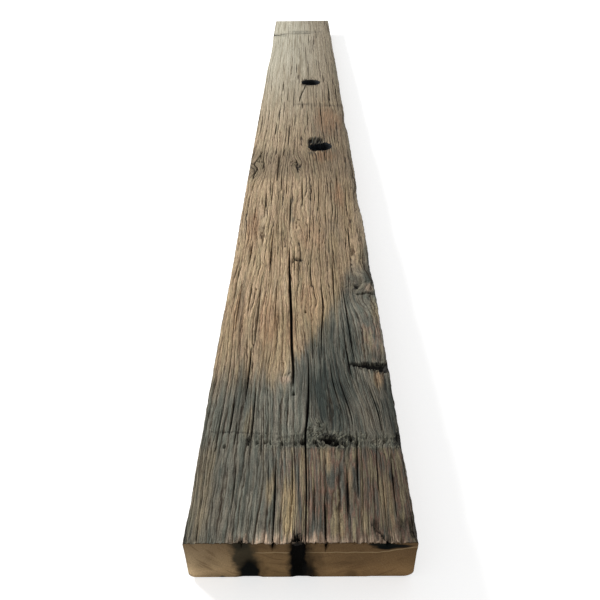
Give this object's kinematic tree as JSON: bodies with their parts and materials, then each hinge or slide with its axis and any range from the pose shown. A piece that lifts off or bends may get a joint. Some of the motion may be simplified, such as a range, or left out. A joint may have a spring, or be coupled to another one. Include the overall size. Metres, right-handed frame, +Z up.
{
  "type": "reclaimed oak plank",
  "caption": "Straight sawn length of old oak with a flat rectangular section, a weathered and split upper face and recessed bolt holes.",
  "frame": {"origin": "middle of the underside, on the surface the plank lies on", "axes": "+Y along the plank, away from the near sawn end that the picture shows; +X to the right as seen from that end; +Z up, out of the weathered face"},
  "size_m": [0.2, 2.25, 0.052],
  "materials": {
    "weathered_oak": "dry, weathered, rough sawn"
  },
  "bodies": {
    "root": {"oak_plank": "weathered_oak"}
  },
  "joints": []
}
